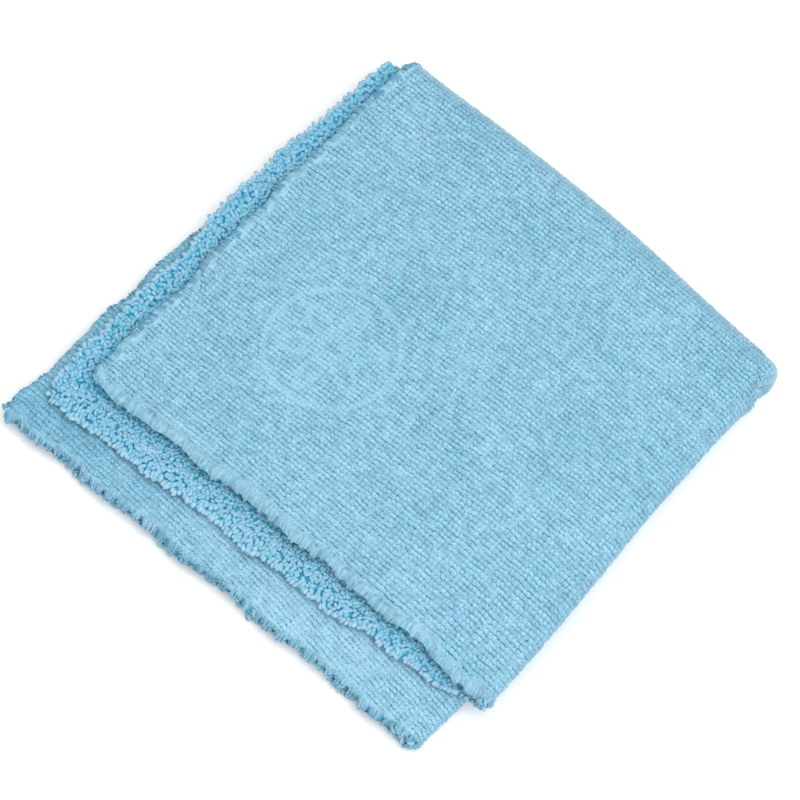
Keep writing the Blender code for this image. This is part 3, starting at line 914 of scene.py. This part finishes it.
# A row for each run of fibres: stretch, edge, spacing, where they start inwards and how far they reach
# out beyond the ground's cut edge, how high they lie on the knit, how far their tips hang, how deep
# their outline is scalloped by tufts and how wide a tuft is, how light they are and how thick. The third
# layer's runs that hang low or lie at its left are made darker as painted shade.
Run = namedtuple("Run", "stretch edge spacing start reach height hang scallop tuft light thick seed")
RUNS = (
    Run("top", "front", 0.42, 3.6, 0.7, 0.05, 1.0, 0.7, 7.0, 0.98, 0.30, 21),
    Run("top", "front", 0.36, 2.2, 1.2, 0.12, 1.8, 1.3, 4.5, 1.00, 0.30, 22),
    Run("top", "left", 0.42, 3.0, 0.8, 0.05, 0.9, 1.2, 4.5, 0.72, 0.30, 23),
    Run("upper_fold", "front", 0.24, 3.6, 1.2, 0.10, 1.2, 1.0, 3.0, 0.90, 0.30, 24),
    Run("outer_back", "left", 0.38, 3.0, 0.7, 0.05, 0.6, 0.9, 4.0, 0.62, 0.30, 25),
    Run("third", "front", 0.74, 0.4, 2.7, -0.8, 1.5, 1.5, 5.5, 0.84, 0.62, 26),
    Run("third", "front", 0.66, 0.3, 1.9, -1.8, 1.6, 1.0, 5.5, 0.42, 0.68, 28),
    Run("third", "front", 0.45, 1.2, 0.4, 0.05, 0.5, 0.3, 4.0, 0.95, 0.24, 29),
    Run("third", "left", 0.90, 1.0, 0.3, 0.06, 0.8, 0.6, 4.0, 0.50, 0.40, 27),
    Run("lower_fold", "front", 0.60, 1.6, 1.4, 0.20, 1.6, 0.6, 3.0, 0.62, 0.60, 30),
)
TUFT_GATHER = 0.25     # share of the way to its tuft's middle that a fibre's tip has gone
TUFT_REACH, TUFT_SWAY = 0.6, 0.5       # how much tufts differ in reach, and how far they lean sideways
TUFT_SINK = 0.28       # how much lower a tuft lies at its sides
HANG_REACH = 1.6       # how far out the tips hang their full drop


def tufts(along, length, typical, rng):
    """For places along an edge of this length: where each one's tuft has its middle, how far off that
    middle it lies, from -1 to 1, and the tuft's number."""
    sides = np.cumsum(rng.uniform(0.6, 1.4, int(length / typical / 0.6) + 2) * typical)
    mine = np.searchsorted(sides, along)
    low, high = np.concatenate([[0.0], sides])[mine], sides[mine]
    return (low + high) / 2, (2 * along - low - high) / (high - low), mine


def fibre_run(run):
    """The part that one run's fibres make. Each lies on the knit from its root to the cut edge, half a
    sine high, then reaches out and hangs as the square of how far it has come; its tuft's outline is
    scalloped by the square of the place in the tuft."""
    layer = run.stretch if run.stretch in LAYERS else FOLDS[run.stretch].start
    own = LAYERS[layer]
    rng = np.random.default_rng(run.seed)
    length = (math.pi * FOLDS[run.stretch].arc_radius if run.stretch in FOLDS
              else own.width if run.edge == "front" else own.depth)
    along = np.arange(0.1, length, run.spacing)
    along = along + rng.uniform(-0.4, 0.4, len(along)) * run.spacing
    count = len(along)
    middles, offs, mine = tufts(along, length, run.tuft, rng)
    share = np.array(STRAND_SHARES)[None, :]
    each = rng.uniform(-1.0, 1.0, (3, mine.max() + 1))
    reach = (run.reach + TUFT_REACH * each[0][mine] - run.scallop * offs ** 2
             + rng.normal(0, 0.22, count))[:, None]
    start = (run.start * (1 + 0.10 * each[1][mine]))[:, None]
    inward = start - (start + reach) * share
    sideways = (along[:, None] + TUFT_GATHER * (middles - along)[:, None] * share
                + (TUFT_SWAY * each[2][mine] + rng.normal(0, 0.2, count))[:, None] * share ** 1.5)
    outside = np.clip(-inward / HANG_REACH, 0.0, 1.0)
    arch = np.sin(math.pi * np.clip(share * 1.05, 0, 1)) * run.height
    height = (LAYER + edge_profile(layer, int(run.edge == "front"), along[:, None], np.maximum(inward, 0.0))
              + arch - run.hang * outside ** 2
              + (0.12 * each[0][mine] - TUFT_SINK * offs ** 4 + rng.normal(0, 0.04, count))[:, None])
    parts = (sideways, inward) if run.edge == "front" else (inward, sideways)
    centres = np.stack([*parts, height], axis=-1)
    wide = run.thick * (1 - STRAND_TAPER * share) * rng.uniform(0.8, 1.2, (count, 1))
    spots = tubes(centres, STRAND_SIDES, (wide, wide * STRAND_FLAT), UPRIGHT)
    tone = np.clip(0.55 + 0.25 * each[1][mine] + rng.normal(0, 0.12, count), 0, 1)
    hue = np.clip(0.5 + 0.3 * each[2][mine], 0, 1)
    # Painted shade at the sides of each tuft, where it lies against its neighbours
    light = run.light + 0.6 * rng.uniform(-0.6, 0.25, count) - 0.45 * offs ** 6
    return part_of(run.stretch, spots, STRAND_SIDES, light, tone, hue)


# A row for each clump of pulled loops at a corner: the place of its middle, how many loops it holds,
# how far they scatter, how wide they arch and how light they are
Clump = namedtuple("Clump", "stretch left front height count scatter arch light seed")
CLUMPS = (
    Clump("upper_fold", 3.0, -0.4, 3.4, 22, 1.2, 1.4, 0.85, 41),
    Clump("upper_fold", 7.0, -0.2, 3.0, 10, 1.1, 1.3, 0.80, 42),
    Clump("third", 201.0, -0.8, 3.2, 18, 1.6, 1.8, 0.85, 43),
    Clump("lower_fold", 7.0, -0.5, 2.6, 16, 1.3, 1.6, 0.75, 44),
    Clump("third", 0.4, 0.2, 3.4, 12, 0.9, 1.1, 0.70, 45),
    Clump("top", 5.0, 1.6, 3.9, 10, 1.0, 1.1, 0.80, 46),
)


def clump(row):
    """The part that one clump's pulled loops make. Each runs from foot to foot around half a circle
    that leans outwards and faces anywhere."""
    rng = np.random.default_rng(row.seed)
    middle = np.array([row.left, row.front, row.height])
    feet = middle + rng.normal(0.0, row.scatter, (row.count, 3)) * np.array([1.0, 0.5, 0.5])
    heading = rng.uniform(0.0, math.pi, (row.count, 1))
    turn = math.pi * np.array(LOOP_TURNS)[None, :]
    radius = row.arch * rng.uniform(0.4, 0.8, (row.count, 1))
    level, up = radius * np.cos(turn), radius * np.sin(turn) * rng.uniform(0.6, 1.2, (row.count, 1))
    offsets = np.stack([level * np.cos(heading), level * np.sin(heading) - 0.6 * up, 0.6 * up], axis=-1)
    across = np.concatenate([-np.sin(heading), np.cos(heading), np.full_like(heading, 0.3)], axis=-1)
    wide = rng.uniform(0.4, 0.6, (row.count, 1)) * np.ones_like(turn)
    spots = tubes(feet[:, None, :] + offsets, LOOP_SIDES, (wide, wide), across[:, None, :])
    light = row.light + rng.uniform(-0.35, 0.15, row.count)
    tone, hue = (rng.uniform(0.2, 0.9, row.count) for _ in range(2))
    return part_of(row.stretch, spots, LOOP_SIDES, light, tone, hue)


fibre_yarn, tree, shader = fabric_material("brushed fibre", 0.95, 0.05)
finish(tree, shader, dye_with_painted_shade(tree, *painted_yarn(tree)))

cut_edges = joined_piece("cut_edge_fibres", [*map(fibre_run, RUNS), *map(clump, CLUMPS)], fibre_yarn)


# === The worn folds ================================================================================
# Where the cloth turns, handling has rubbed single fibres out of the knit. They stand off it in a thin
# haze, a little closer together towards the back right corner and longer near every corner.

# A row for each fold: how far the knit runs around it in mm, how many fibres there are to a square
# millimetre and how high they stand
Wear = namedtuple("Wear", "fold arc close height seed")
WEARS = (Wear("upper_fold", 14.0, 0.9, 0.40, 31), Wear("lower_fold", 14.0, 0.7, 0.40, 32),
         Wear("outer_back", 29.0, 0.6, 0.35, 33))
WEAR_REACH, WEAR_GROWTH = 6.0, 1.3     # how near a corner they are longer, and by what share
WEAR_SIDES = 3
WEAR_SHARES = (0.0, 0.4, 0.8, 1.0)
WEAR_SINK = 0.08                       # how deep their roots lie in the knit


def worn_fibres(wear):
    """The part that one fold's worn fibres make. Each runs a little way along the knit face and rises
    off it as the sine of half its share."""
    rng = np.random.default_rng(wear.seed)
    fold = FOLDS[wear.fold]
    own = LAYERS[fold.start]
    length = own.depth if fold.across_side else own.width
    count = int(wear.arc * length * wear.close)
    along = length * (1 - rng.uniform(0.0, 1.0, count) ** 1.15)
    turn_length = math.pi * fold.arc_radius
    around = rng.uniform(0.0, turn_length, count)
    corner = near(np.minimum(along, length - along), WEAR_REACH)
    share = np.array(WEAR_SHARES)[None, :]
    heading = rng.uniform(0.0, 2 * math.pi, (count, 1))
    run = rng.uniform(0.5, 1.3, (count, 1))
    scale = turn_length / wear.arc
    turned = np.clip(around[:, None] + run * share * np.cos(heading) * scale, 0.0, turn_length)
    gone = np.clip(along[:, None] + run * share * np.sin(heading), 0.0, length)
    rise = wear.height * (rng.uniform(0.2, 1.0, count) * (1 + WEAR_GROWTH * corner))[:, None]
    height = LAYER - WEAR_SINK + rise * np.sin(share * math.pi / 2)
    parts = (turned, gone) if fold.across_side else (gone, turned)
    wide = rng.uniform(0.12, 0.2, (count, 1)) * np.ones_like(share)
    spots = tubes(np.stack([*parts, height], axis=-1), WEAR_SIDES, (wide, wide), UPRIGHT)
    light, tone, hue = (rng.uniform(*span, count) for span in ((0.85, 1.0), (0.4, 0.9), (0.4, 0.9)))
    return part_of(wear.fold, spots, WEAR_SIDES, light, tone, hue)


worn_folds = joined_piece("worn_fold_fibres", [worn_fibres(wear) for wear in WEARS], fibre_yarn)


# === Floor, light and camera =======================================================================
# A pale floor under the cloth, a broad soft light overhead with a stronger one from the right, and the
# camera above the front right corner, looking down on the cloth.

FLOOR_SIDE, FLOOR_DROP = 6.0, 0.0003   # metres, as everything is from here on
FLOOR_WHITE, FLOOR_ROUGHNESS = 0.96, 0.9
AMBIENT = 0.63         # strength of the even light from all around
bpy.ops.mesh.primitive_plane_add(size=FLOOR_SIDE, location=(0, 0, -FLOOR_DROP))
floor = bpy.context.object
floor.name = "floor"
pale = bpy.data.materials.new("pale floor")
pale.use_nodes = True
surface = pale.node_tree.nodes["Principled BSDF"]
surface.inputs["Base Color"].default_value = (FLOOR_WHITE, FLOOR_WHITE, FLOOR_WHITE, 1)
surface.inputs["Roughness"].default_value = FLOOR_ROUGHNESS
floor.data.materials.append(pale)

world = bpy.data.worlds.new("studio")
world.use_nodes = True
sky = world.node_tree.nodes["Background"]
sky.inputs["Color"].default_value = (1.0, 1.0, 1.0, 1.0)
sky.inputs["Strength"].default_value = AMBIENT
bpy.context.scene.world = world

# A row for each lamp: where it stands, how wide it is and its power in watts
Lamp = namedtuple("Lamp", "name place size power")
LAMPS = (
    Lamp("right", (0.95, -0.30, 1.65), 1.2, 19.5),
    Lamp("overhead", (0.10, 0.10, 2.0), 1.4, 13.0),
)
for lamp in LAMPS:
    light = bpy.data.lights.new(lamp.name, "AREA")
    light.shape, light.size, light.energy = "SQUARE", lamp.size, lamp.power
    stand = bpy.data.objects.new(lamp.name, light)
    stand.location = lamp.place
    aim = -np.array(lamp.place)
    stand.rotation_euler = (math.atan2(math.hypot(aim[0], aim[1]), -aim[2]), 0.0,
                            math.atan2(-aim[0], aim[1]))
    bpy.context.scene.collection.objects.link(stand)

# The camera looks at its target from this distance; lens and sensor are in millimetres
VIEW_AZIMUTH, VIEW_ELEVATION = math.radians(40.4), math.radians(64.8)
VIEW_DISTANCE = 1.0625
VIEW_TARGET = (0.001, -0.004, 0.0)
LENS, SENSOR = 126.2, 36.0
lens = bpy.data.cameras.new("camera")
lens.lens, lens.sensor_width = LENS, SENSOR
camera = bpy.data.objects.new("camera", lens)
aside = VIEW_DISTANCE * math.cos(VIEW_ELEVATION)
camera.location = (VIEW_TARGET[0] + aside * math.sin(VIEW_AZIMUTH),
                   VIEW_TARGET[1] - aside * math.cos(VIEW_AZIMUTH),
                   VIEW_TARGET[2] + VIEW_DISTANCE * math.sin(VIEW_ELEVATION))
camera.rotation_euler = (math.pi / 2 - VIEW_ELEVATION, 0.0, VIEW_AZIMUTH)
bpy.context.scene.collection.objects.link(camera)
bpy.context.scene.camera = camera
bpy.context.scene.view_settings.view_transform = "Standard"
